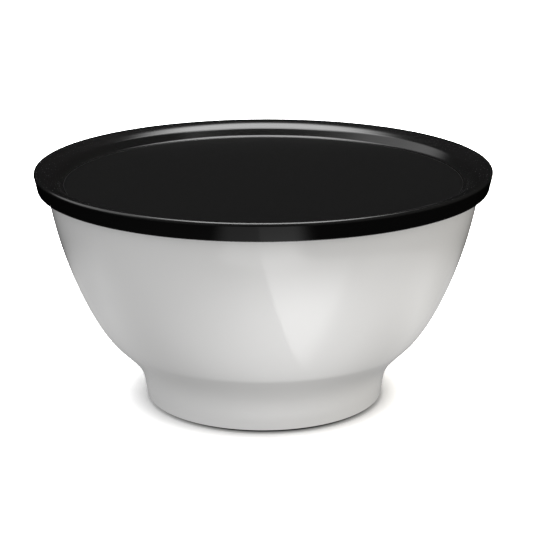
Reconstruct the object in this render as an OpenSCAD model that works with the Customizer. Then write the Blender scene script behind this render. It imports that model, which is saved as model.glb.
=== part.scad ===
// Round bowl on a low foot, with a push-on lid whose recessed panel sits inside the rim.
// Origin at the centre of the foot's underside, +Z up.
// Both pieces are turned about Z from half outlines in [radius, height].

/* [Bowl] */
// Outer radius of the foot where its side meets the table
foot_r = 36.9; // [35:0.1:38]
// Height of the foot's straight side
foot_h = 4.9; // [4:0.1:6]
// Lean of the foot's side away from vertical, in degrees
foot_draft = 8.4; // [4:0.5:12]
// Width of the flat ring that the bowl stands on
ring_w = 3.6; // [2.5:0.1:5]
// Height of the recess inside the foot
recess_h = 6.2; // [4.5:0.1:6.8]
// Outer radius at the inflection between foot and belly
flare_r = 46.8; // [46:0.1:48]
// Height of that inflection
flare_h = 18.4; // [17.5:0.1:19]
// Lean of the wall there, away from vertical, in degrees
flare_lean = 46; // [43:0.5:48]
// Outer radius of the wall where the rim's rounding starts
rim_r = 66.15; // [65.95:0.05:66.2]
// Height of the top of the rim
rim_h = 69.3; // [68:0.1:69.4]
// Lean of the wall at the rim, in degrees
rim_lean = 7.5; // [6:0.5:9]
// Thickness of the wall
wall = 2.3; // [2:0.1:2.4]
// Height of the floor inside the bowl
floor_h = 9; // [8:0.1:10]
// Radius of the curve between floor and wall
floor_round = 25; // [15:1:30]

/* [Lid] */
// Largest radius of the lid
lid_r = 70; // [69.8:0.1:70.1]
// Height of the lid's crest above the table
lid_top = 72.75; // [72.7:0.05:74]
// Height of the skirt, from the crest to its lower edge
skirt_h = 5.5; // [4.8:0.1:5.6]
// Lean of the skirt away from vertical, in degrees
skirt_taper = 11.8; // [9:0.1:12]
// Radius of the crest's outer edge
crest_round = 0.8; // [0.6:0.1:1.4]
// Slope of the shoulder next to the crest, in degrees
crest_slope = 12; // [11:1:15]
// Width of the shoulder between the crest and the recess
shoulder_w = 6.1; // [5.9:0.1:6.2]
// Depth of the shoulder's inner edge below the crest
shoulder_drop = 2; // [1.8:0.1:2.1]
// Width of the sloping side of the recess
recess_side_w = 2; // [1.8:0.1:2.4]
// Depth of the panel below the crest
panel_depth = 4.6; // [4.4:0.1:4.8]
// Thickness of the lid
lid_t = 1.15; // [0.9:0.05:1.2]
// Thickness of the rib that plugs the bowl's mouth
plug_t = 1.1; // [0.8:0.1:1.4]
// Depth of that rib below the lid's underside
plug_h = 1.8; // [1:0.1:2.2]
// Height of the bead that grips the outside of the rim
bead_h = 2.7; // [2:0.1:3]

/* [Hidden] */

// Largest turn between two points of an arc, in degrees
arc_step = 9;
// Number of stretches in a free curve
curve_steps = 18;
// Facets of a whole turn
turn_facets = 180;

// Foot: rounding of its edges, draft and corner rounding of its recess, and a shallow blank disc
foot_edge_round = 0.5;
recess_round = 2;
recess_draft = 0.8;
disc_r = 13;
disc_depth = 0.3;

// Length of the handles that shape the two free curves of the wall
foot_pull = 5.9;
flare_pull_down = 7.1;
flare_pull_up = 10.5;
rim_pull = 20.5;

// Lid: roundings, the bend at the middle of the shoulder, clearance to the rim, and the gate mark
recess_round_in = 1.4;
recess_round_out = 2;
shoulder_round = 9;
skirt_edge_round = 0.3;
least_round = 0.3;
plug_gap = 0.2;
plug_edge_round = 0.35;
bead_gap = 0.2;
bead_nose_h = 0.7;
bead_round = 0.35;
gate_r = 2.4;
gate_h = 0.4;

// ---- outline functions ----

function xy(p) = [p[0], p[1]];

function unit(v) = v / norm(v);

// Direction that leans by the given angle outwards from straight up
function leaning(angle) = [sin(angle), cos(angle)];

// The same direction turned a quarter to its right
function right_of(v) = [v[1], -v[0]];

function turned(v, angle) = [
    v[0] * cos(angle) - v[1] * sin(angle),
    v[0] * sin(angle) + v[1] * cos(angle)
];

// Points of the arc of radius r that rounds corner b between a and c
function corner_arc(a, b, c, r) =
    let (
        u = unit(a - b),
        v = unit(c - b),
        half = acos(u * v) / 2,
        centre = b + unit(u + v) * r / sin(half),
        spoke = b + u * r / tan(half) - centre,
        turn = (180 - 2 * half) * sign(cross(b - a, c - b)),
        steps = ceil(abs(turn) / arc_step)
    )
    [for (i = [0:steps]) centre + turned(spoke, turn * i / steps)];

// Path through corners [radius, height, rounding], whose ends stay sharp
function rounded(corners) = [
    for (i = [0:len(corners) - 1])
        each i == 0 || i == len(corners) - 1 || corners[i][2] == 0
            ? [xy(corners[i])]
            : corner_arc(xy(corners[i - 1]), xy(corners[i]), xy(corners[i + 1]), corners[i][2])
];

// Corner b of the path a-b-c, moved to the right of the path by d, with its rounding to match
function offset_corner(a, b, c, d) =
    let (
        m = right_of(unit(xy(b) - xy(a))),
        n = right_of(unit(xy(c) - xy(b))),
        side = sign(cross(xy(b) - xy(a), xy(c) - xy(b))),
        moved = xy(b) + d * (m + n) / (1 + m * n)
    )
    [moved[0], moved[1], max(least_round, b[2] + side * d)];

// Point of a cubic curve with ends p, s and handles q, r, and its direction there
function curve_point(p, q, r, s, t) =
    pow(1 - t, 3) * p + 3 * pow(1 - t, 2) * t * q + 3 * (1 - t) * t * t * r + pow(t, 3) * s;

function curve_heading(p, q, r, s, t) =
    unit(pow(1 - t, 2) * (q - p) + 2 * (1 - t) * t * (r - q) + t * t * (s - r));

// Cubic curve moved to the left of its direction by d, drawn from t = from to t = to
function curve(p, q, r, s, d, from, to) = [
    for (i = [0:curve_steps])
        let (t = from + (to - from) * i / curve_steps)
        curve_point(p, q, r, s, t) - d * right_of(curve_heading(p, q, r, s, t))
];

function reversed(list) = [for (i = [len(list) - 1:-1:0]) list[i]];

// ---- bowl ----

foot_top = [foot_r + foot_h * tan(foot_draft), foot_h];
flare = [flare_r, flare_h];
rim_centre_h = rim_h - wall / 2;
rim_end = [rim_r, rim_centre_h - wall / 2 * sin(rim_lean)];
rim_centre = rim_end - wall / 2 * right_of(leaning(rim_lean));

foot_handle = foot_top + foot_pull * leaning(foot_draft);
flare_handle_down = flare - flare_pull_down * leaning(flare_lean);
flare_handle_up = flare + flare_pull_up * leaning(flare_lean);
rim_handle = rim_end - rim_pull * leaning(rim_lean);

// Inner end of the belly, and the corner where its tangent meets the floor
flare_in = flare - wall * right_of(leaning(flare_lean));
floor_corner_r = flare_in[0] - (flare_in[1] - floor_h) * tan(flare_lean);

ring_in_r = foot_r - ring_w;

bowl_underside = rounded([
    [0, recess_h + disc_depth, 0],
    [disc_r, recess_h + disc_depth, 0],
    [disc_r, recess_h, 0],
    [ring_in_r - recess_draft, recess_h, recess_round],
    [ring_in_r, 0, foot_edge_round],
    [foot_r, 0, foot_edge_round],
    [foot_top[0], foot_top[1], 0]
]);

bowl_outside = concat(
    curve(foot_top, foot_handle, flare_handle_down, flare, 0, 0, 1),
    curve(flare, flare_handle_up, rim_handle, rim_end, 0, 0, 1)
);

bowl_rim = [
    for (a = [arc_step:arc_step:180 - arc_step])
        rim_centre + wall / 2 * turned(right_of(leaning(rim_lean)), a)
];

bowl_inside = concat(
    curve(flare, flare_handle_up, rim_handle, rim_end, wall, 1, 0),
    reversed(rounded([
        [0, floor_h, 0],
        [floor_corner_r, floor_h, floor_round],
        [flare_in[0], flare_in[1], 0]
    ]))
);

module bowl() {
    color([0.86, 0.86, 0.85])
        rotate_extrude($fn = turn_facets)
            polygon(concat(bowl_underside, bowl_outside, bowl_rim, bowl_inside));
}

// ---- lid ----

panel_h = lid_top - panel_depth;
skirt_bottom = lid_top - skirt_h;
crest_centre = [lid_r - crest_round, lid_top - crest_round];

// The shoulder's and the skirt's straight sides would meet at this corner
crest_half = (90 + crest_slope + skirt_taper) / 2;
crest_mid = (90 + crest_slope - skirt_taper) / 2;
crest_corner = crest_centre + crest_round / cos(crest_half) * [cos(crest_mid), sin(crest_mid)];

shoulder_in = [lid_r - shoulder_w, lid_top - shoulder_drop];
shoulder_mid_r = (shoulder_in[0] + crest_centre[0]) / 2;
shoulder_mid = [shoulder_mid_r, crest_corner[1] - (crest_corner[0] - shoulder_mid_r) * tan(crest_slope)];
panel_edge = [shoulder_in[0] - recess_side_w, panel_h];
skirt_end = [crest_corner[0] - (crest_corner[1] - skirt_bottom) * tan(skirt_taper), skirt_bottom];

// Top side of the lid from the axis to the skirt's lower edge
lid_corners = [
    [0, panel_h, 0],
    [panel_edge[0], panel_edge[1], recess_round_in],
    [shoulder_in[0], shoulder_in[1], recess_round_out],
    [shoulder_mid[0], shoulder_mid[1], shoulder_round],
    [crest_corner[0], crest_corner[1], crest_round],
    [skirt_end[0], skirt_end[1], skirt_edge_round]
];

// The same corners one thickness below, from the shoulder's end back to the panel's edge
under_corners = [
    for (i = [1:len(lid_corners) - 2])
        offset_corner(lid_corners[i - 1], lid_corners[i], lid_corners[i + 1], lid_t)
];

panel_under = panel_h - lid_t;
skirt_in_end = [skirt_end[0] - lid_t / cos(skirt_taper), skirt_bottom];

// Radius of the bowl's inner wall at the depth that the plug rib reaches
plug_bottom = panel_under - plug_h;
plug_r = rim_r - wall - (rim_end[1] - plug_bottom) * tan(rim_lean + 2) - plug_gap;

lid_path = concat(
    lid_corners,
    [[skirt_in_end[0], skirt_in_end[1], skirt_edge_round]],
    reversed(under_corners),
    [
        [gate_r, panel_under, 0],
        [gate_r, panel_under - gate_h, 0],
        [0, panel_under - gate_h, 0]
    ]
);

// The bead grows out of the middle of the skirt's thickness, just above its lower edge
bead_bottom = skirt_bottom + lid_t / 8;
bead_root_r = skirt_end[0] - lid_t / 2;

module lid_shell() {
    rotate_extrude($fn = turn_facets)
        polygon(rounded(lid_path));
}

// Rib below the panel's edge that centres the lid in the bowl's mouth
module plug_rib() {
    rotate_extrude($fn = turn_facets)
        polygon(rounded([
            [plug_r - plug_t, panel_h - lid_t / 2, 0],
            [plug_r - plug_t, plug_bottom, plug_edge_round],
            [plug_r, plug_bottom, plug_edge_round],
            [plug_r, panel_h + lid_t / 4, 0]
        ]));
}

// Bead inside the skirt that grips the outside of the rim
module grip_bead() {
    nose_r = rim_r + bead_gap;
    nose_low = bead_bottom + bead_h / 5;
    rotate_extrude($fn = turn_facets)
        polygon(rounded([
            [bead_root_r, bead_bottom, 0],
            [bead_root_r, bead_bottom + bead_h, 0],
            [nose_r, nose_low + bead_nose_h, bead_round],
            [nose_r, nose_low, bead_round],
            [bead_root_r, bead_bottom, 0]
        ]));
}

module lid() {
    color([0.05, 0.05, 0.05])
        union() {
            lid_shell();
            plug_rib();
            grip_bead();
        }
}

bowl();
lid();
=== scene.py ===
"""Lidded bowl in a studio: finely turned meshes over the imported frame, with their materials and light."""
from math import acos, ceil, cos, degrees, pi, radians, sin, tan

import bpy
from mathutils import Matrix, Vector


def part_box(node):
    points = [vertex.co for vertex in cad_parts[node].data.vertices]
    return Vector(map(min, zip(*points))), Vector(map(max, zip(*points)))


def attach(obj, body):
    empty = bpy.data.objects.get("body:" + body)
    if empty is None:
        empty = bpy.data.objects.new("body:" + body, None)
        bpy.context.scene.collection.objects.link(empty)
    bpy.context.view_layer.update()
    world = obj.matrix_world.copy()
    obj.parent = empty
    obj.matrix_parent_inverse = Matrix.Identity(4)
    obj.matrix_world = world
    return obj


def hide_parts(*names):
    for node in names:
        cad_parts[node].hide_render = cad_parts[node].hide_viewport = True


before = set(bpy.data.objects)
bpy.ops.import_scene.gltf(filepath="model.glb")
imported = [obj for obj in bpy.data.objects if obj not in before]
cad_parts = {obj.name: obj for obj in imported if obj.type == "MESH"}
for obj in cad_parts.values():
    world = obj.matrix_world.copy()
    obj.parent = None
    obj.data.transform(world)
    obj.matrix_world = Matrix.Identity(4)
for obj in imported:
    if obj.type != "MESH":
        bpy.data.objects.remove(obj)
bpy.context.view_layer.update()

MM = 0.001
scene = bpy.context.scene

# ---------------------------------------------------------------- outlines, as (radius, height)

ARC_STEP = 4          # largest turn between two points of an arc, in degrees
CURVE_STEPS = 48      # stretches in a free curve
TURN_STEPS = 256      # stretches in a whole turn
SUPPORT = 0.15 * MM   # distance of the extra rings that keep flats flat beside a rounding
LONGEST = 2.5 * MM    # longest stretch left undivided
DOUBLE = 0.0001 * MM  # points closer than this are one


def leaning(angle):
    """Direction that leans by angle outwards from straight up."""
    return Vector((sin(radians(angle)), cos(radians(angle))))


def right_of(v):
    """The same direction turned a quarter to its right."""
    return Vector((v.y, -v.x))


def turned(v, angle):
    a = radians(angle)
    return Vector((v.x * cos(a) - v.y * sin(a), v.x * sin(a) + v.y * cos(a)))


def bend_side(before, after):
    """One where a path bends to its left, minus one where it bends to its right."""
    return 1 if before.x * after.y > before.y * after.x else -1


def corner_arc(a, b, c, r):
    """Points of the arc of radius r that rounds corner b between a and c."""
    u = (a - b).normalized()
    v = (c - b).normalized()
    half = acos(max(-1, min(1, u.dot(v)))) / 2
    centre = b + (u + v).normalized() * r / sin(half)
    spoke = b + u * r / tan(half) - centre
    turn = degrees(pi - 2 * half) * bend_side(b - a, c - b)
    steps = ceil(abs(turn) / ARC_STEP)
    return [centre + turned(spoke, turn * i / steps) for i in range(steps + 1)]


def straight(a, b):
    """Points that divide the stretch from a to b, one of them close to each end."""
    length = (b - a).length
    if length < 4 * SUPPORT:
        return []
    inner = length - 2 * SUPPORT
    steps = max(1, ceil(inner / LONGEST))
    marks = [SUPPORT + inner * i / steps for i in range(steps + 1)]
    return [a + (b - a) * mark / length for mark in marks]


def rounded(corners):
    """Path with sharp ends through corners (radius, height, rounding), its straight stretches divided."""
    at = [Vector(c[:2]) for c in corners]
    path = [at[0]]
    for i in range(1, len(corners) - 1):
        rounding = corners[i][2]
        bend = corner_arc(at[i - 1], at[i], at[i + 1], rounding) if rounding else [at[i]]
        path += straight(path[-1], bend[0]) + bend
    return path + straight(path[-1], at[-1]) + [at[-1]]


def offset_corner(a, b, c, d, least):
    """Corner b of the path a-b-c, moved to its right by d. Its rounding follows, but isn't under least."""
    at = Vector(b[:2])
    before = at - Vector(a[:2])
    after = Vector(c[:2]) - at
    m = right_of(before.normalized())
    n = right_of(after.normalized())
    moved = at + d * (m + n) / (1 + m.dot(n))
    return (moved.x, moved.y, max(least, b[2] + bend_side(before, after) * d))


def curve(p, q, r, s, inset=0.0):
    """Cubic curve with ends p, s and handles q, r, moved to the left of its direction by inset."""
    points = []
    for i in range(CURVE_STEPS + 1):
        t = i / CURVE_STEPS
        at = (1 - t) ** 3 * p + 3 * (1 - t) ** 2 * t * q + 3 * (1 - t) * t * t * r + t ** 3 * s
        heading = (1 - t) ** 2 * (q - p) + 2 * (1 - t) * t * (r - q) + t * t * (s - r)
        points.append(at - inset * right_of(heading.normalized()))
    return points


def without_doubles(path):
    """The same path with each point once where two stretches meet."""
    once = [path[0]]
    for p in path[1:]:
        if (p - once[-1]).length > DOUBLE:
            once.append(p)
    return once


# ---------------------------------------------------------------- the bowl

# Leans are away from vertical, in degrees. Roundings are radii.
WALL = 2.3 * MM
RIM_LEAN = 7.5
FOOT_R = 36.9 * MM
FOOT_H = 4.9 * MM
FOOT_LEAN = 8.4
FOOT_EDGE_ROUND = 0.5 * MM
RING_W = 3.6 * MM
RECESS_H = 6.2 * MM
RECESS_ROUND = 2 * MM
RECESS_DRAFT = 0.8 * MM
DISC_R = 13 * MM
DISC_DEPTH = 0.3 * MM
FLARE = Vector((46.8, 18.4)) * MM   # where the wall turns from foot to belly
FLARE_LEAN = 46
FLOOR_H = 9 * MM
FLOOR_ROUND = 25 * MM

# Lengths of the handles that shape the wall's two free curves
FOOT_PULL = 5.9 * MM
FLARE_PULL_DOWN = 7.1 * MM
FLARE_PULL_UP = 10.5 * MM
RIM_PULL = 20.5 * MM

bowl_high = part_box("bowl")[1]
RIM_H = bowl_high.z
RIM_R = bowl_high.x - WALL / 2 * (1 - cos(radians(RIM_LEAN)))


def bowl_outline():
    """Half section of the bowl, from the axis under the foot round to the axis at the floor."""
    foot_top = Vector((FOOT_R + FOOT_H * tan(radians(FOOT_LEAN)), FOOT_H))
    rim_side = WALL / 2 * right_of(leaning(RIM_LEAN))
    rim_end = Vector((RIM_R, RIM_H - WALL / 2 + rim_side.y))
    flare_in = FLARE - WALL * right_of(leaning(FLARE_LEAN))
    floor_corner_r = flare_in.x - (flare_in.y - FLOOR_H) * tan(radians(FLARE_LEAN))
    ring_in_r = FOOT_R - RING_W
    underside = rounded([
        (0, RECESS_H + DISC_DEPTH, 0),
        (DISC_R, RECESS_H + DISC_DEPTH, 0),
        (DISC_R, RECESS_H, 0),
        (ring_in_r - RECESS_DRAFT, RECESS_H, RECESS_ROUND),
        (ring_in_r, 0, FOOT_EDGE_ROUND),
        (FOOT_R, 0, FOOT_EDGE_ROUND),
        (*foot_top, 0),
    ])
    foot_curve = curve(
        foot_top,
        foot_top + FOOT_PULL * leaning(FOOT_LEAN),
        FLARE - FLARE_PULL_DOWN * leaning(FLARE_LEAN),
        FLARE,
    )
    belly = (
        FLARE,
        FLARE + FLARE_PULL_UP * leaning(FLARE_LEAN),
        rim_end - RIM_PULL * leaning(RIM_LEAN),
        rim_end,
    )
    rim = [rim_end - rim_side + turned(rim_side, a) for a in range(ARC_STEP, 180, ARC_STEP)]
    inside = rounded([(0, FLOOR_H, 0), (floor_corner_r, FLOOR_H, FLOOR_ROUND), (*flare_in, 0)])
    outside = foot_curve + curve(*belly)
    return without_doubles(underside + outside + rim + curve(*belly, WALL)[::-1] + inside[::-1])


# ---------------------------------------------------------------- the lid

LID_T = 1.15 * MM
SKIRT_H = 5.5 * MM
SKIRT_LEAN = 11.8
SKIRT_EDGE_ROUND = 0.3 * MM
CREST_ROUND = 0.8 * MM
CREST_SLOPE = 12          # away from level, in degrees
SHOULDER_W = 6.1 * MM
SHOULDER_DROP = 2 * MM
SHOULDER_ROUND = 9 * MM
RECESS_SIDE_W = 2 * MM
RECESS_SIDE_ROUND = 2 * MM
PANEL_DEPTH = 4.6 * MM
PANEL_ROUND = 1.4 * MM
LEAST_ROUND = 0.3 * MM    # smallest rounding of the underside
PLUG_T = 1.1 * MM
PLUG_H = 1.8 * MM
PLUG_GAP = 0.2 * MM
PLUG_EDGE_ROUND = 0.35 * MM
PLUG_LEAN = RIM_LEAN + 2  # of the bowl's wall, where the plug rib faces it
BEAD_H = 2.7 * MM
BEAD_RISE = LID_T / 8     # from the skirt's lower edge to the bead
BEAD_NOSE_RISE = BEAD_H / 5
BEAD_NOSE_H = 0.7 * MM
BEAD_ROUND = 0.35 * MM
BEAD_GAP = 0.2 * MM
BEAD_START = 0.12 * MM    # height above the bead's bottom where its lower face leaves the skirt
BEAD_END = 0.93 * BEAD_H  # and where its upper face meets the skirt again
GATE_R = 2.4 * MM
GATE_H = 0.4 * MM

lid_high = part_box("lid")[1]
LID_R = lid_high.x
LID_TOP = lid_high.z
PANEL_TOP = LID_TOP - PANEL_DEPTH
PANEL_R = LID_R - SHOULDER_W - RECESS_SIDE_W


def lid_outline():
    """Half section of the lid, from the axis under the panel round to the axis on top."""
    skirt_bottom = LID_TOP - SKIRT_H
    taper = tan(radians(SKIRT_LEAN))
    crest_centre = Vector((LID_R - CREST_ROUND, LID_TOP - CREST_ROUND))
    half = radians(90 + CREST_SLOPE + SKIRT_LEAN) / 2
    middle = radians(90 + CREST_SLOPE - SKIRT_LEAN) / 2
    crest = crest_centre + CREST_ROUND / cos(half) * Vector((cos(middle), sin(middle)))
    shoulder_in = Vector((LID_R - SHOULDER_W, LID_TOP - SHOULDER_DROP))
    shoulder_mid_r = (shoulder_in.x + crest_centre.x) / 2
    shoulder_mid_h = crest.y - (crest.x - shoulder_mid_r) * tan(radians(CREST_SLOPE))
    skirt_r = crest.x - (crest.y - skirt_bottom) * taper
    top = [
        (0, PANEL_TOP, 0),
        (PANEL_R, PANEL_TOP, PANEL_ROUND),
        (*shoulder_in, RECESS_SIDE_ROUND),
        (shoulder_mid_r, shoulder_mid_h, SHOULDER_ROUND),
        (*crest, CREST_ROUND),
        (skirt_r, skirt_bottom, SKIRT_EDGE_ROUND),
    ]
    under = [offset_corner(*top[i - 1:i + 2], LID_T, LEAST_ROUND) for i in range(1, len(top) - 1)]
    panel_in = Vector(under[0][:2])
    side_in = Vector(under[1][:2])
    panel_under = PANEL_TOP - LID_T
    plug_bottom = panel_under - PLUG_H
    rim_end_h = RIM_H - WALL / 2 * (1 + sin(radians(RIM_LEAN)))
    plug_r = RIM_R - WALL - (rim_end_h - plug_bottom) * tan(radians(PLUG_LEAN)) - PLUG_GAP
    slope = (side_in - panel_in).normalized()
    plug_root = panel_in + slope * (plug_r - panel_in.x) / slope.x
    skirt_in_r = skirt_r - LID_T / cos(radians(SKIRT_LEAN))
    bead_bottom = skirt_bottom + BEAD_RISE
    bead_top = bead_bottom + BEAD_END
    nose_r = RIM_R + BEAD_GAP
    nose_low = bead_bottom + BEAD_NOSE_RISE
    path = rounded(top + [
        (skirt_in_r, skirt_bottom, SKIRT_EDGE_ROUND),
        (skirt_in_r + BEAD_RISE * taper, bead_bottom + BEAD_START, 0),
        (nose_r, nose_low, BEAD_ROUND),
        (nose_r, nose_low + BEAD_NOSE_H, BEAD_ROUND),
        (skirt_in_r + (bead_top - skirt_bottom) * taper, bead_top, 0),
        under[3],
        under[2],
        under[1],
        (*plug_root, 0),
        (plug_r, plug_bottom, PLUG_EDGE_ROUND),
        (plug_r - PLUG_T, plug_bottom, PLUG_EDGE_ROUND),
        (plug_r - PLUG_T, panel_under, 0),
        (GATE_R, panel_under, 0),
        (GATE_R, panel_under - GATE_H, 0),
        (0, panel_under - GATE_H, 0),
    ])
    return without_doubles(path)[::-1]


# ---------------------------------------------------------------- node trees


def new_material(name):
    material = bpy.data.materials.new(name)
    material.use_nodes = True
    tree = material.node_tree
    return material, tree, tree.nodes["Principled BSDF"]


def add(tree, kind, *inputs, **settings):
    """New node of that kind, with its first inputs linked to sockets or set to values."""
    node = tree.nodes.new(kind)
    for key, value in settings.items():
        setattr(node, key, value)
    for socket, value in zip(node.inputs, inputs):
        if isinstance(value, bpy.types.NodeSocket):
            tree.links.new(value, socket)
        elif value is not None:
            socket.default_value = value
    return node


def maths(tree, operation, *inputs):
    """Result of an operation on up to two inputs, which takes in any others one after another."""
    result = add(tree, "ShaderNodeMath", *inputs[:2], operation=operation).outputs[0]
    for value in inputs[2:]:
        result = add(tree, "ShaderNodeMath", result, value, operation=operation).outputs[0]
    return result


def plus(tree, *terms):
    return maths(tree, "ADD", *terms)


def minus(tree, a, b):
    return maths(tree, "SUBTRACT", a, b)


def times(tree, *factors):
    return maths(tree, "MULTIPLY", *factors)


def ramp(tree, value, low, high, to_low=0.0, to_high=1.0):
    """Smooth step of value, from to_low at low to to_high at high."""
    limits = (low, high, to_low, to_high)
    return add(tree, "ShaderNodeMapRange", value, *limits, interpolation_type="SMOOTHSTEP").outputs[0]


def object_place(tree):
    """Position in the object's own frame, in metres."""
    return tree.nodes.new("ShaderNodeTexCoord").outputs["Object"]


def xyz(tree, vector):
    return add(tree, "ShaderNodeSeparateXYZ", vector).outputs


def axis_distance(tree, place):
    """Distance of a place from the Z axis."""
    flat = add(tree, "ShaderNodeVectorMath", place, (1, 1, 0), operation="MULTIPLY").outputs[0]
    return add(tree, "ShaderNodeVectorMath", flat, operation="LENGTH").outputs["Value"]


def along(tree, vector, direction):
    """Dot product of vector and direction."""
    return add(tree, "ShaderNodeVectorMath", vector, direction, operation="DOT_PRODUCT").outputs["Value"]


def noise(tree, vector, scale, detail=2.0, roughness=0.5):
    """Cloudy pattern from zero to one with about scale features a metre."""
    node = tree.nodes.new("ShaderNodeTexNoise")
    tree.links.new(vector, node.inputs["Vector"])
    node.inputs["Scale"].default_value = scale
    node.inputs["Detail"].default_value = detail
    node.inputs["Roughness"].default_value = roughness
    return node.outputs["Fac"]


def mixed(tree, factor, low, high):
    """Colour between low and high, each a colour or a socket."""
    node = tree.nodes.new("ShaderNodeMix")
    node.data_type = "RGBA"
    tree.links.new(factor, node.inputs["Factor"])
    for name, value in (("A", low), ("B", high)):
        socket = [s for s in node.inputs if s.name == name and s.type == "RGBA"][0]
        if isinstance(value, bpy.types.NodeSocket):
            tree.links.new(value, socket)
        else:
            socket.default_value = (*value, 1.0)
    return [s for s in node.outputs if s.type == "RGBA"][0]


def bump(tree, height, distance, strength, normal=None):
    """Normal tilted by a height pattern, on top of another normal if one is given."""
    node = tree.nodes.new("ShaderNodeBump")
    node.inputs["Distance"].default_value = distance
    node.inputs["Strength"].default_value = strength
    tree.links.new(height, node.inputs["Height"])
    if normal:
        tree.links.new(normal, node.inputs["Normal"])
    return node.outputs["Normal"]


# ---------------------------------------------------------------- materials

PLASTIC_IOR = 1.5

MELAMINE_DARKER = (0.775, 0.775, 0.773)
MELAMINE_LIGHTER = (0.805, 0.805, 0.803)
SCUFF_NOISE = (0.55, 0.75)               # span of the noise over which scuffs set in
CLEAN_ROUGHNESS = 0.06
SCUFFED_ROUGHNESS = 0.12
GROUND_BELOW = (0.35 * MM, 0.1 * MM)     # heights between which the ground foot ring sets in
GROUND_ROUGHNESS = 0.45                  # what it adds


def melamine():
    """Glossy pressed melamine: faint mottling and ripple, fine scuffs, and a ground foot ring."""
    material, tree, shader = new_material("melamine_pale")
    place = object_place(tree)
    height = xyz(tree, place)["Z"]
    mottle = noise(tree, place, scale=60, detail=3)
    ripple = noise(tree, place, scale=140, detail=1)
    scuffs = ramp(tree, noise(tree, place, scale=900, detail=5, roughness=0.7), *SCUFF_NOISE)
    grain = noise(tree, place, scale=6000)
    ground = ramp(tree, height, *GROUND_BELOW)
    tree.links.new(mixed(tree, mottle, MELAMINE_DARKER, MELAMINE_LIGHTER), shader.inputs["Base Color"])
    rough = ramp(tree, scuffs, 0, 1, CLEAN_ROUGHNESS, SCUFFED_ROUGHNESS)
    rough = plus(tree, rough, times(tree, ground, GROUND_ROUGHNESS))
    tree.links.new(rough, shader.inputs["Roughness"])
    shader.inputs["IOR"].default_value = PLASTIC_IOR
    fine = bump(tree, grain, distance=0.02 * MM, strength=0.12)
    wavy = bump(tree, ripple, distance=0.05 * MM, strength=0.2, normal=fine)
    tree.links.new(wavy, shader.inputs["Normal"])
    return material


PANEL_WITHIN = (PANEL_R - 0.7 * MM, PANEL_R - 1 * MM)      # radii between which the panel's look sets in
SKIRT_BEYOND = (LID_R - 2.2 * MM, LID_R - 1.8 * MM)        # the same for the skirt's
SKIRT_BELOW = (LID_TOP - 0.5 * MM, LID_TOP - 1.1 * MM)     # heights between which the skirt's look sets in
SHOULDER_DARKER = (0.0125, 0.0125, 0.0125)
SHOULDER_LIGHTER = (0.0140, 0.0140, 0.0140)
# The skirt's black is darker than the rest: painted shade on the lid's side
SKIRT_BLACK_AND_PAINTED_SHADE = (0.003, 0.003, 0.003)
PANEL_COLOUR = (0.005, 0.005, 0.005)
GRAIN_NOISE = (0.3, 0.7)                 # span of the noise over which the roughness changes
SHOULDER_ROUGHNESS = (0.13, 0.17)
PANEL_ROUGHER = 0.38
SKIRT_SMOOTHER = 0.08
SHOULDER_SPECULAR = 0.34
PANEL_DULLER = 0.33
SKIRT_DULLER = 0.16


def lid_plastic():
    """Black moulded plastic: fine-grained panel, smoother shoulder and skirt. The skirt is a darker black,
    which is painted shade on the lid's side.
    """
    material, tree, shader = new_material("lid_black")
    place = object_place(tree)
    height = xyz(tree, place)["Z"]
    radius = axis_distance(tree, place)
    grain = noise(tree, place, scale=2600, detail=3)
    cloud = noise(tree, place, scale=40)
    panel = ramp(tree, radius, *PANEL_WITHIN)
    skirt = times(tree, ramp(tree, height, *SKIRT_BELOW), ramp(tree, radius, *SKIRT_BEYOND))
    colour = mixed(tree, cloud, SHOULDER_DARKER, SHOULDER_LIGHTER)
    # Darker black on the skirt: painted shade on the lid's side
    colour = mixed(tree, skirt, colour, SKIRT_BLACK_AND_PAINTED_SHADE)
    colour = mixed(tree, panel, colour, PANEL_COLOUR)
    tree.links.new(colour, shader.inputs["Base Color"])
    rough = ramp(tree, grain, *GRAIN_NOISE, *SHOULDER_ROUGHNESS)
    rough = plus(tree, rough, times(tree, panel, PANEL_ROUGHER))
    rough = minus(tree, rough, times(tree, skirt, SKIRT_SMOOTHER))
    tree.links.new(rough, shader.inputs["Roughness"])
    shader.inputs["IOR"].default_value = PLASTIC_IOR
    level = minus(tree, SHOULDER_SPECULAR, times(tree, panel, PANEL_DULLER))
    level = minus(tree, level, times(tree, skirt, SKIRT_DULLER))
    tree.links.new(level, shader.inputs["Specular IOR Level"])
    tree.links.new(bump(tree, grain, distance=0.02 * MM, strength=0.15), shader.inputs["Normal"])
    return material


# ---------------------------------------------------------------- pieces

ON_AXIS = 1e-7      # smallest radius that makes a ring
SHARP_ANGLE = 30    # edges that bend by more than this many degrees stay sharp


def turned_piece(name, outline, material, node):
    """Solid of revolution about Z of an outline that starts and ends on the axis."""
    verts = []
    rings = []
    for p in outline:
        if p.x < ON_AXIS:
            rings.append([len(verts)] * TURN_STEPS)
            verts.append((0, 0, p.y))
        else:
            rings.append(list(range(len(verts), len(verts) + TURN_STEPS)))
            for j in range(TURN_STEPS):
                a = 2 * pi * j / TURN_STEPS
                verts.append((p.x * cos(a), p.x * sin(a), p.y))
    faces = []
    for low, high in zip(rings, rings[1:]):
        for j in range(TURN_STEPS):
            k = (j + 1) % TURN_STEPS
            corners = [low[j], low[k], high[k], high[j]]
            faces.append(list(dict.fromkeys(corners)))    # a triangle where a ring is a single point
    mesh = bpy.data.meshes.new(name)
    mesh.from_pydata(verts, [], faces)
    mesh.shade_smooth()
    mesh.set_sharp_from_angle(angle=radians(SHARP_ANGLE))
    mesh.materials.append(material)
    piece = bpy.data.objects.new(name, mesh)
    scene.collection.objects.link(piece)
    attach(piece, node)
    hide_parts(node)


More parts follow.
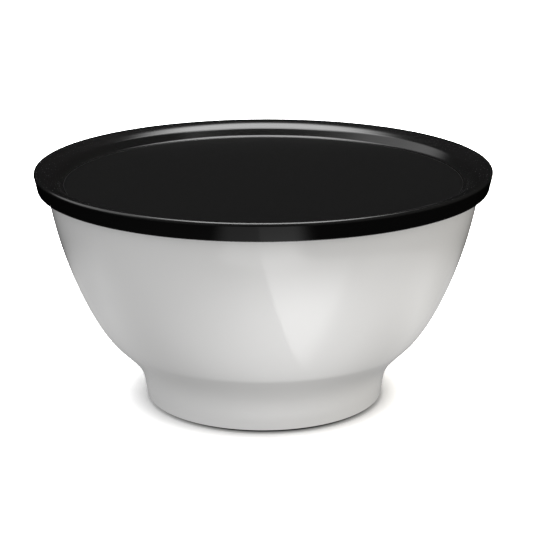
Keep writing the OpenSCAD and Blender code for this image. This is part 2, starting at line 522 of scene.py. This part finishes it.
turned_piece("bowl_shell", bowl_outline(), melamine(), "bowl")
turned_piece("lid_shell", lid_outline(), lid_plastic(), "lid")

# ---------------------------------------------------------------- stage

STAGE_R = 6.0
STAGE_STEPS = 96    # stretches in a whole turn of the floor and the domes


def seen_only_by(thing, *rays):
    for ray in ("camera", "diffuse", "glossy", "transmission", "volume_scatter", "shadow"):
        setattr(thing, "visible_" + ray, ray in rays)


def glow_material(name, strength_in):
    """Additive glow, whose strength is what the function strength_in gives for the node tree."""
    material = bpy.data.materials.new(name)
    material.use_nodes = True
    tree = material.node_tree
    tree.nodes.clear()
    glow = add(tree, "ShaderNodeEmission", None, strength_in(tree))
    clear = tree.nodes.new("ShaderNodeBsdfTransparent")
    both = add(tree, "ShaderNodeAddShader", glow.outputs[0], clear.outputs[0])
    add(tree, "ShaderNodeOutputMaterial", both.outputs[0])
    return material


def stage_mesh(name, verts, faces, material, ray):
    """Flat stage mesh that only rays of one kind see."""
    mesh = bpy.data.meshes.new(name)
    mesh.from_pydata(verts, [], faces)
    mesh.materials.append(material)
    thing = bpy.data.objects.new(name, mesh)
    scene.collection.objects.link(thing)
    seen_only_by(thing, ray)


def dome(name, material, ray):
    """Sphere round the whole scene that only rays of one kind see."""
    bpy.ops.mesh.primitive_uv_sphere_add(segments=STAGE_STEPS, ring_count=STAGE_STEPS // 2, radius=STAGE_R)
    thing = bpy.context.object
    thing.name = name
    thing.data.materials.append(material)
    seen_only_by(thing, ray)


# The floor's colour holds a painted contact shadow: darkest at the foot, it brightens outwards in rings
# about a centre a little in front of the axis.
# Each rise has its start and end, in millimetres beyond the foot's radius, and its amount.
SHADE_CENTRE = (0.4 * MM, -3 * MM, 0)
PAINTED_SHADOW_DARKEST = 0.02
PAINTED_SHADOW_RISES = ((-2.75, 0.45, 1.2), (-0.3, 3, 0.55), (3, 20, 3))


def floor():
    """Wide pale floor with a painted contact shadow about the foot, overexposed to white further out, and
    open under the foot.
    """
    material, tree, shader = new_material("floor_white_painted_shadow")
    tree.nodes.remove(shader)
    shifted = add(tree, "ShaderNodeVectorMath", object_place(tree), SHADE_CENTRE, operation="SUBTRACT")
    radius = axis_distance(tree, shifted.outputs[0])
    # Painted contact shadow: the floor's colour rises from near black at the foot
    level = PAINTED_SHADOW_DARKEST
    for near, far, rise in PAINTED_SHADOW_RISES:
        step = add(tree, "ShaderNodeMapRange", radius, FOOT_R + near * MM, FOOT_R + far * MM, 0.0, rise)
        level = plus(tree, step.outputs[0], level)
    colour = add(tree, "ShaderNodeCombineColor", level, level, level)
    diffuse = add(tree, "ShaderNodeBsdfDiffuse", colour.outputs[0])
    tree.links.new(diffuse.outputs[0], tree.nodes["Material Output"].inputs["Surface"])
    angles = [2 * pi * i / STAGE_STEPS for i in range(STAGE_STEPS)]
    verts = [(r * cos(a), r * sin(a), 0) for r in (FOOT_R - RING_W / 2, STAGE_R) for a in angles]
    faces = []
    for i in range(STAGE_STEPS):
        j = (i + 1) % STAGE_STEPS
        faces.append((i, STAGE_STEPS + i, STAGE_STEPS + j, j))
    stage_mesh("floor", verts, faces, material, "camera")


# ---------------------------------------------------------------- light that only the gloss sees

# Ovals of light on the floor: centre and spread in millimetres, turn in degrees, and level at the peak.
# The front of the object faces -Y.
WINDOW = ((25.3, -83.8), (46, 21.9), 6.3, 4.6)
WEDGE = ((12, -90), (45, 40), 0, 2.0)
FAR_FRONT = ((14, -126), (28, 18), 0, 1.2)
NEAR_FRONT = ((12, -55), (45, 14), 8.6, 1.4)
LEFT = ((-85, -30), (30, 30), 0, 0.5)
RIGHT = ((97, -30), (30, 30), 0, 1.5)

# The wedge opens towards the front between two lines from its tip, each cut with its own softness
WEDGE_TIP = Vector((17, -54)) * MM
WEDGE_LEFT = Vector((0, -135)) * MM
WEDGE_RIGHT = Vector((110, -124)) * MM
WEDGE_LEFT_SOFT = 1.5 * MM
WEDGE_RIGHT_SOFT = 8 * MM

# An even strip far in front: distances over which its sides, front and back fade in
STRIP_SIDE = (58 * MM, 36 * MM)
STRIP_FRONT = (-185 * MM, -165 * MM)
STRIP_BACK = (-125 * MM, -140 * MM)
STRIP_LEVEL = 0.9

# An even ring about the foot, behind the front lights
RING_OUTER = (170 * MM, 110 * MM)
RING_FRONT = (-45 * MM, 0)
RING_INNER = (42 * MM, 85 * MM)
RING_NEAR_FOOT = 0.45     # its share beside the foot
RING_LEVEL = 0.6

# The front lights are weaker beside the foot, and end on the far right
FOOT_SHADE = (39.5 * MM, 45 * MM)
FOOT_SHADE_SHARE = 0.4
END_RADIUS = (136 * MM, 152 * MM)
END_RIGHT = (30 * MM, 60 * MM)


def reach(tree, x, y, direction):
    """How far the floor position lies along direction."""
    return plus(tree, times(tree, x, direction.x), times(tree, y, direction.y))


def half_plane(tree, x, y, a, b, soft):
    """One on the right of the line from a to b, zero on its left, smoothed over soft on either side."""
    across = right_of((b - a).normalized())
    return ramp(tree, reach(tree, x, y, across), a.dot(across) - soft, a.dot(across) + soft)


def oval(tree, x, y, centre, spread, turn, level):
    """Gaussian of the floor position about centre, with its peak at level."""
    squares = []
    for axis, size in zip(((1, 0), (0, 1)), spread):
        axis = turned(Vector(axis), turn) / (size * MM)
        offset = minus(tree, reach(tree, x, y, axis), axis.dot(Vector(centre) * MM))
        squares.append(times(tree, offset, offset))
    peak = maths(tree, "EXPONENT", times(tree, plus(tree, *squares), -0.5))
    return times(tree, peak, level)


def floor_glow(tree):
    """Brightness of the floor: a window's light in front of the object and an even ring about its foot."""
    place = object_place(tree)
    x, y, _ = xyz(tree, place)
    radius = axis_distance(tree, place)
    wedge = times(
        tree,
        half_plane(tree, x, y, WEDGE_LEFT, WEDGE_TIP, WEDGE_LEFT_SOFT),
        half_plane(tree, x, y, WEDGE_TIP, WEDGE_RIGHT, WEDGE_RIGHT_SOFT),
        oval(tree, x, y, *WEDGE),
    )
    strip = times(
        tree,
        ramp(tree, maths(tree, "ABSOLUTE", x), *STRIP_SIDE),
        ramp(tree, y, *STRIP_FRONT),
        ramp(tree, y, *STRIP_BACK),
        STRIP_LEVEL,
    )
    ring = times(
        tree,
        ramp(tree, radius, *RING_OUTER),
        ramp(tree, y, *RING_FRONT),
        ramp(tree, radius, *RING_INNER, RING_NEAR_FOOT, 1),
        RING_LEVEL,
    )
    window, far, near, right, left = (
        oval(tree, x, y, *light) for light in (WINDOW, FAR_FRONT, NEAR_FRONT, RIGHT, LEFT)
    )
    front = plus(tree, window, wedge, far, near, strip, right)
    beside_foot = ramp(tree, radius, *FOOT_SHADE, FOOT_SHADE_SHARE, 1)
    ended = times(tree, ramp(tree, radius, *END_RADIUS), ramp(tree, x, *END_RIGHT))
    return plus(tree, times(tree, front, beside_foot, minus(tree, 1, ended)), ring, left)


CARD_SIDE = 0.5


def floor_card():
    """Glow lying on the floor."""
    half = CARD_SIDE / 2
    corners = [(-half, -half, 0), (half, -half, 0), (half, half, 0), (-half, half, 0)]
    stage_mesh("floor_card", corners, [(0, 1, 2, 3)], glow_material("floor_glow", floor_glow), "glossy")


# Softbox overhead: spans of the slope, away from straight up, over which its edges fade in
BOX_SIDE = (0.66, 0.18)
BOX_BACK = (0.80, 0.42)
BOX_FRONT = (-0.38, -0.20)
BOX_LEVEL = 10.8
LEAST_HEIGHT = 0.01     # keeps the slopes finite

# Weak fill on the left: its direction, and the span of the dot product with it over which it fades in
FILL_TOWARD = (-0.80, 0.14, 0.58)
FILL_SPAN = (0.80, 0.97)
FILL_LEVEL = 2.2


def sky_glow(tree):
    """Brightness of the studio: a softbox overhead and a weak fill on the left."""
    toward = add(tree, "ShaderNodeVectorMath", object_place(tree), operation="NORMALIZE").outputs[0]
    x, y, z = xyz(tree, toward)
    above = maths(tree, "MAXIMUM", z, LEAST_HEIGHT)
    across = maths(tree, "ABSOLUTE", maths(tree, "DIVIDE", x, above))
    back = maths(tree, "DIVIDE", y, above)
    box = times(
        tree,
        ramp(tree, across, *BOX_SIDE),
        ramp(tree, back, *BOX_BACK),
        ramp(tree, back, *BOX_FRONT),
        BOX_LEVEL,
    )
    fill = ramp(tree, along(tree, toward, FILL_TOWARD), *FILL_SPAN)
    return plus(tree, box, times(tree, fill, FILL_LEVEL))


# ---------------------------------------------------------------- light for diffuse shading

LAMP_ELEVATION = radians(80)
LAMP_DISTANCE = 0.9
LAMP_SIDE = 0.8
LAMP_POWER = 4

AMBIENT = 0.31
AMBIENT_BAND = 0.42                   # what the horizon adds
AMBIENT_LEAN = (0.11, -0.22, 0.08)    # towards the front right
AMBIENT_RIGHT = (0.1, 1)              # span of the direction's x over which the light turns warm
AMBIENT_WARM = (1, 0.965, 0.90)


def overhead():
    """Square area light above and a little behind the object, aimed at the lid."""
    light = bpy.data.lights.new("overhead", "AREA")
    light.size = LAMP_SIDE
    light.energy = LAMP_POWER
    lamp = bpy.data.objects.new("overhead", light)
    outward = Vector((0, cos(LAMP_ELEVATION), sin(LAMP_ELEVATION)))
    lamp.location = Vector((0, 0, LID_TOP)) + LAMP_DISTANCE * outward
    lamp.rotation_mode = "QUATERNION"
    lamp.rotation_quaternion = outward.to_track_quat("Z", "Y")
    scene.collection.objects.link(lamp)
    seen_only_by(lamp, "diffuse", "shadow")


def ambient():
    """World light, strongest near the horizon and at the front right, and warmer at the right."""
    world = bpy.data.worlds.new("studio")
    scene.world = world
    world.use_nodes = True
    tree = world.node_tree
    toward = tree.nodes.new("ShaderNodeTexCoord").outputs["Generated"]
    x, _, z = xyz(tree, toward)
    level = minus(tree, 1, times(tree, z, z))
    band = times(tree, level, level, AMBIENT_BAND)
    background = tree.nodes["Background"]
    strength = plus(tree, along(tree, toward, AMBIENT_LEAN), AMBIENT, band)
    tree.links.new(strength, background.inputs["Strength"])
    colour = mixed(tree, ramp(tree, x, *AMBIENT_RIGHT), (1, 1, 1), AMBIENT_WARM)
    tree.links.new(colour, background.inputs["Color"])
    rays = world.cycles_visibility
    rays.camera = False
    rays.glossy = False
    rays.transmission = False


floor()
floor_card()
dome("backdrop", glow_material("backdrop_white", lambda tree: 1.0), "camera")
dome("sky_card", glow_material("sky_glow", sky_glow), "glossy")
ambient()
overhead()

# ---------------------------------------------------------------- camera

SENSOR = 36             # millimetres
LENS = 121.3734
CLIP = (0.01, 50)
VIEW_ELEVATION = radians(16.32)
VIEW_DISTANCE = 8.0 * LID_R
AIM_HEIGHT = 0.553 * LID_TOP
AIM_SIDE = 0.0126 * LID_R
ROLL = -0.0035          # radians

camera_data = bpy.data.cameras.new("camera")
camera_data.sensor_width = SENSOR
camera_data.lens = LENS
camera_data.clip_start, camera_data.clip_end = CLIP
camera = bpy.data.objects.new("camera", camera_data)
scene.collection.objects.link(camera)
scene.camera = camera
toward_camera = Vector((0, -cos(VIEW_ELEVATION), sin(VIEW_ELEVATION)))
camera.matrix_world = (
    Matrix.Translation(Vector((AIM_SIDE, 0, AIM_HEIGHT)) + VIEW_DISTANCE * toward_camera)
    @ Matrix.Rotation(pi / 2 - VIEW_ELEVATION, 4, "X")
    @ Matrix.Rotation(ROLL, 4, "Z")
)

scene.view_settings.view_transform = "Standard"
